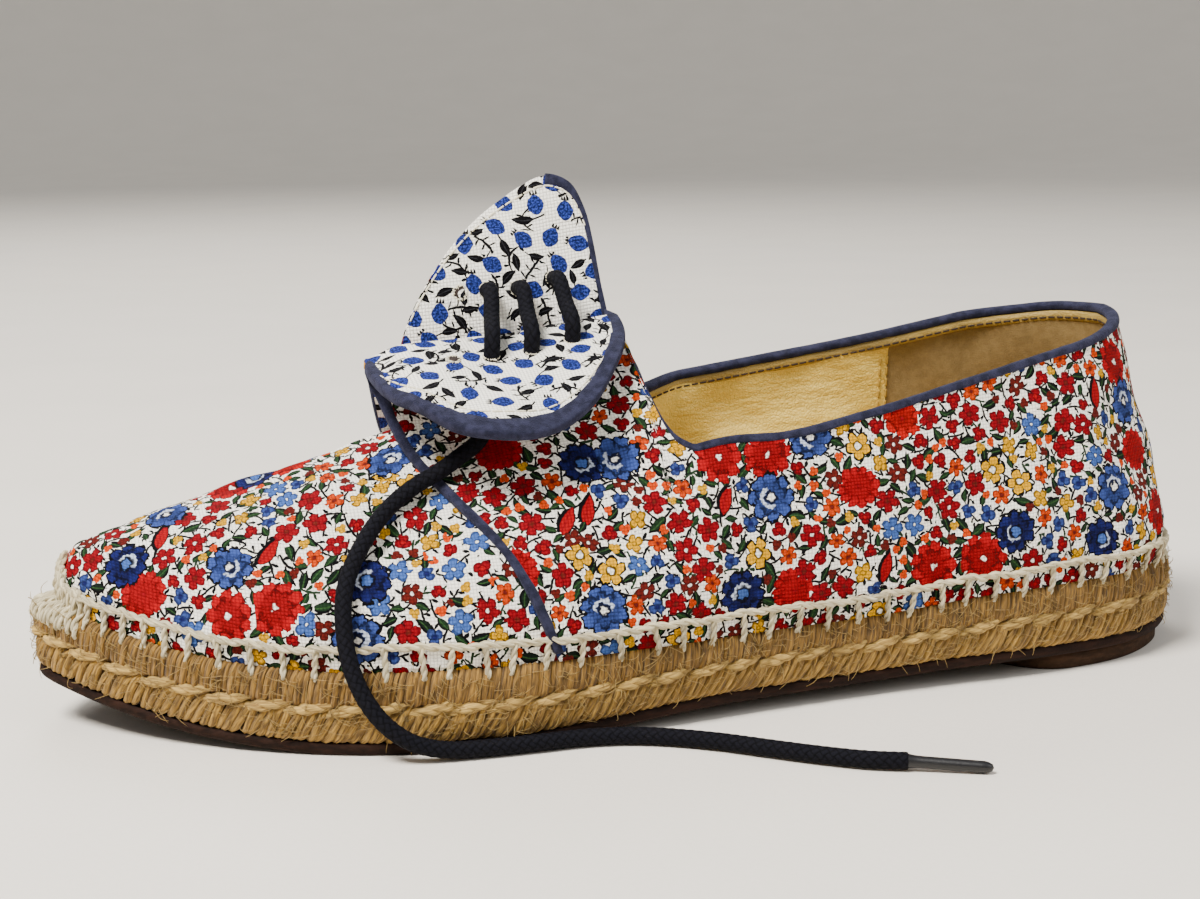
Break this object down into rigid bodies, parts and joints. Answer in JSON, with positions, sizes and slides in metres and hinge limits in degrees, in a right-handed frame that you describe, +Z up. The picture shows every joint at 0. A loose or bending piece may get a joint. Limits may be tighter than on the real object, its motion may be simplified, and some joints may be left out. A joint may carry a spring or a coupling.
{
  "type": "espadrille",
  "caption": "Lace-up canvas espadrille with turned-back lapels, a rope sole with a low heel lift, and one loose lace end.",
  "frame": {"origin": "on the floor, under the middle of the heel lift", "axes": "+X from the heel to the toe, +Y to the lateral side, +Z up"},
  "size_m": [0.266, 0.1354, 0.1121],
  "materials": {
    "outsole": "matt dark brown",
    "heel_lift": "matt brown",
    "jute": "rough plaited jute",
    "lining_leather": "soft leather, finely creased",
    "lining_suede": "napped suede",
    "printed_canvas": "plain weave, floral print",
    "lapel_lining": "plain weave, berry print",
    "binding": "napped navy suede",
    "stitch_yarn": "twisted cotton yarn",
    "lace": "round braided cord",
    "aglet": "satin"
  },
  "bodies": {
    "root": {"outsole": "outsole", "heel_lift": "heel_lift", "jute_bottom_course": "jute", "jute_top_course": "jute", "insole": "lining_leather", "upper": "printed_canvas", "lapel_lateral": "lapel_lining", "lapel_medial": "lapel_lining", "lace_bar_1": "lace", "lace_bar_2": "lace", "lace_bar_3": "lace", "lace_strand_medial_1": "lace", "lace_strand_medial_2": "lace", "lace_strand_medial_3": "lace", "lace_strand_lateral_2": "lace", "lace_strand_lateral_3": "lace", "lace_end": "lace", "lace_aglet": "aglet"}
  },
  "joints": []
}
